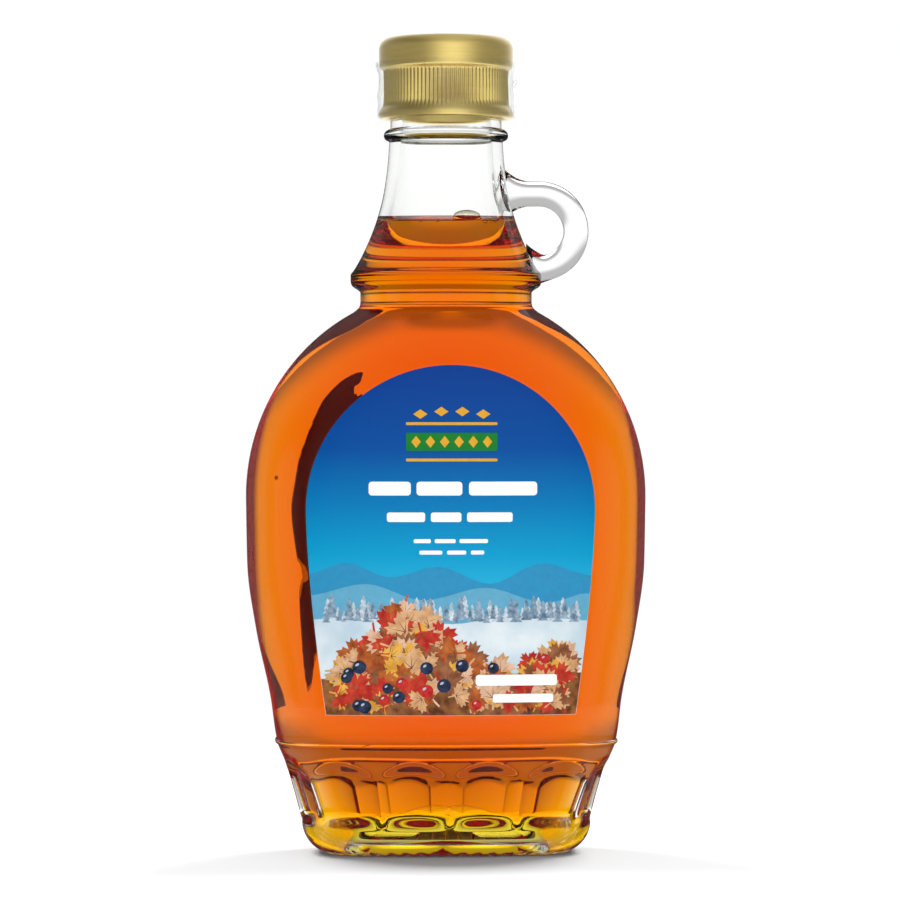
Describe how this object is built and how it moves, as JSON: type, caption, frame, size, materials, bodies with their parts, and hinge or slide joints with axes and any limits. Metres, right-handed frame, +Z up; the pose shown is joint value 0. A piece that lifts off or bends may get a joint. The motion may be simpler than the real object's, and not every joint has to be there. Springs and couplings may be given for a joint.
{
  "type": "glass flask of syrup",
  "caption": "Clear glass flask of amber syrup with a loop handle on its neck, a fluted foot, a gold screw cap in a clear sleeve, and arched paper labels front and back.",
  "frame": {"origin": "middle of the foot, on the surface it stands on", "axes": "+Z up along the neck, front label towards -Y, loop handle towards +X"},
  "size_m": [0.086, 0.0486, 0.1749],
  "materials": {
    "clear_glass": "clear, polished",
    "amber_syrup": "clear amber liquid",
    "gold_metal": "satin gold lacquer",
    "clear_film": "clear shrunk film",
    "front_paper": "semi-gloss printed paper",
    "back_paper": "semi-gloss paper"
  },
  "bodies": {
    "root": {"bottle": "clear_glass", "syrup": "amber_syrup", "cap": "gold_metal", "shrink_band": "clear_film", "front_label": "front_paper", "back_label": "back_paper"}
  },
  "joints": []
}
